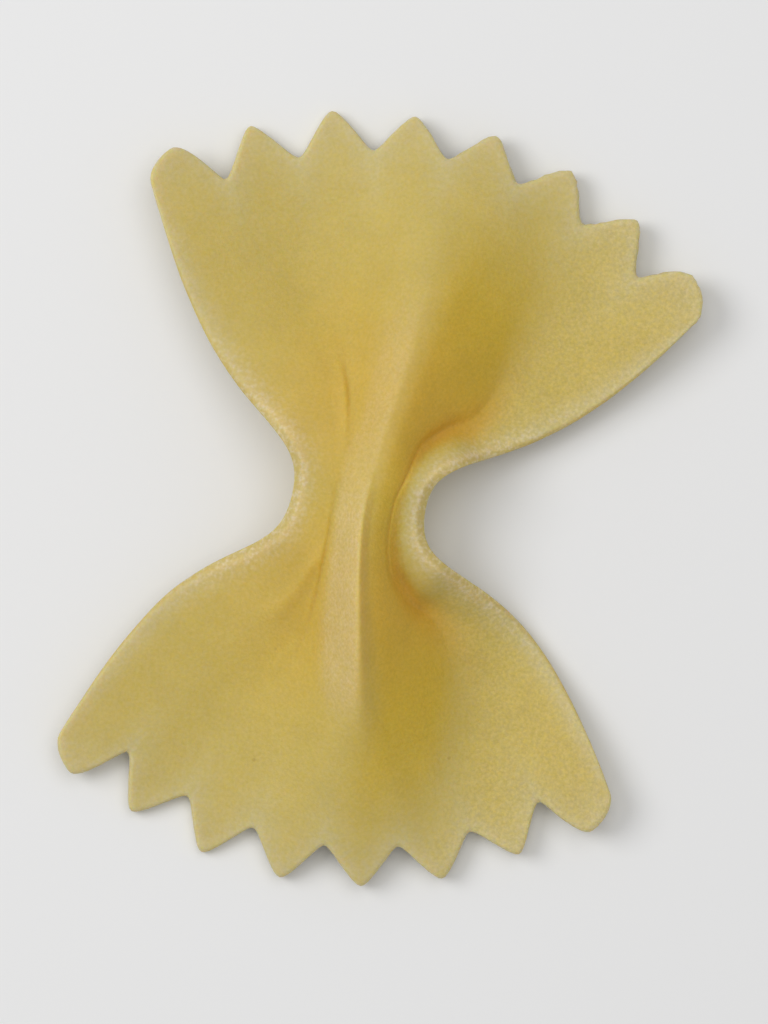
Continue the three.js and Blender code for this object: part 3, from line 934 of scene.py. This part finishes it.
@dataclass
class Table:
    """The plain pale table that the piece lies on, a board sprayed with matt lacquer.

    The lacquer gives an even near-white that shows soft shadows and no gloss.
    """

    half_size: float = 0.6          # metres
    paint: str = "F2F2F2"
    roughness: float = 0.8

    def build(self) -> bpy.types.Object:
        """Builds the flat table top and its finish.

        Returns:
            The table top.
        """
        mesh = bpy.data.meshes.new("table_top")
        r = self.half_size
        mesh.from_pydata([(-r, -r, 0), (r, -r, 0), (r, r, 0), (-r, r, 0)], [], [(0, 1, 2, 3)])
        table = bpy.data.objects.new("table_top", mesh)
        bpy.context.scene.collection.objects.link(table)
        lacquer = bpy.data.materials.new("matt_lacquer")
        lacquer.use_nodes = True
        shader = lacquer.node_tree.nodes["Principled BSDF"]
        shader.inputs["Base Color"].default_value = linear(self.paint)
        shader.inputs["Roughness"].default_value = self.roughness
        mesh.materials.append(lacquer)
        return table


@dataclass
class PhotoView:
    """The camera straight above, turned so that the bow leans to the right in the picture."""

    distance: float = 0.5                 # metres over the table
    nearest: float = 0.01                 # metres from the camera that it can see
    pixels_per_mm: float = 14.8           # at the scale height
    scale_height: float = 0.003           # metres over the table
    picture: tuple[int, int] = (768, 1024)
    waist_pixel: Pair = (367.5, 500.0)
    lean: float = 10.0                    # degrees
    waist: Pair = (-0.907, 0.022)         # mm, place of the waist's middle in the frame
    sensor: float = 36.0                  # mm wide

    def axes(self) -> tuple[Vector, Vector]:
        """Gives the picture's right and up directions on the table."""
        turn = math.radians(self.lean)
        return Vector((math.cos(turn), math.sin(turn), 0)), Vector((-math.sin(turn), math.cos(turn), 0))

    def build(self) -> bpy.types.Object:
        """Places the camera and makes it the scene's own.

        Returns:
            The camera.
        """
        right, up = self.axes()
        across = (self.picture[0] / 2 - self.waist_pixel[0]) / self.pixels_per_mm
        above = (self.waist_pixel[1] - self.picture[1] / 2) / self.pixels_per_mm
        centre = (Vector((*self.waist, 0)) + right * across + up * above) * MM
        data = bpy.data.cameras.new("photo_view")
        data.sensor_fit = "HORIZONTAL"
        data.sensor_width = self.sensor
        seen = self.picture[0] / self.pixels_per_mm * MM
        data.lens = self.sensor * (self.distance - self.scale_height) / seen
        data.clip_start = self.nearest
        camera = bpy.data.objects.new("photo_view", data)
        camera.location = (centre.x, centre.y, self.distance)
        camera.rotation_euler = (0, 0, math.radians(self.lean))
        bpy.context.scene.collection.objects.link(camera)
        bpy.context.scene.camera = camera
        return camera


@dataclass(frozen=True)
class SoftBox:
    """One soft studio light, aimed at the piece."""

    name: str
    bearing: float       # degrees round the picture, from its right side
    elevation: float     # degrees over the table
    distance: float      # metres from the frame's origin
    size: float          # metres across
    watts: float
    colour: str = "FFFFFF"

    def build(self, view: PhotoView) -> bpy.types.Object:
        """Hangs the light.

        Args:
            view: The camera, for the picture's directions.

        Returns:
            The light.
        """
        right, up = view.axes()
        turn, lift = math.radians(self.bearing), math.radians(self.elevation)
        place = (right * math.cos(turn) + up * math.sin(turn)) * math.cos(lift)
        place = (place + Vector((0, 0, math.sin(lift)))) * self.distance
        data = bpy.data.lights.new(self.name, "AREA")
        data.shape = "DISK"
        data.size = self.size
        data.energy = self.watts
        data.color = linear(self.colour)[:3]
        light = bpy.data.objects.new(self.name, data)
        light.location = place
        light.rotation_euler = (-place).to_track_quat("-Z", "Y").to_euler()
        bpy.context.scene.collection.objects.link(light)
        return light


@dataclass
class Studio:
    """Plain soft studio light: a window-like key from the left, a broad top light and a pale room."""

    lights: tuple[SoftBox, ...] = (
        SoftBox("key", 160, 50, 0.5, 0.3, 0.95),
        SoftBox("top", 60, 75, 0.6, 0.5, 0.95),
    )
    room: str = "FFFFFF"
    room_strength: float = 0.38

    def build(self, view: PhotoView) -> None:
        """Hangs the lights and sets the room's own light.

        Args:
            view: The camera, for the picture's directions.
        """
        for light in self.lights:
            light.build(view)
        world = bpy.data.worlds.new("pale_room")
        world.use_nodes = True
        background = world.node_tree.nodes["Background"]
        background.inputs["Color"].default_value = linear(self.room)
        background.inputs["Strength"].default_value = self.room_strength
        bpy.context.scene.world = world
        bpy.context.scene.view_settings.view_transform = "Standard"


def main() -> None:
    """Builds the view, the light, the table and the piece, and reports the piece."""
    logging.basicConfig(level=logging.INFO, format="%(name)s: %(message)s")
    view = PhotoView()
    view.build()
    Studio().build(view)
    Table().build()
    piece = Farfallone().build()
    LOG.info("%s: %d faces, %s mm", piece.name, len(piece.data.polygons),
             [round(side / MM, 1) for side in piece.dimensions])


if __name__ == "__main__":
    main()
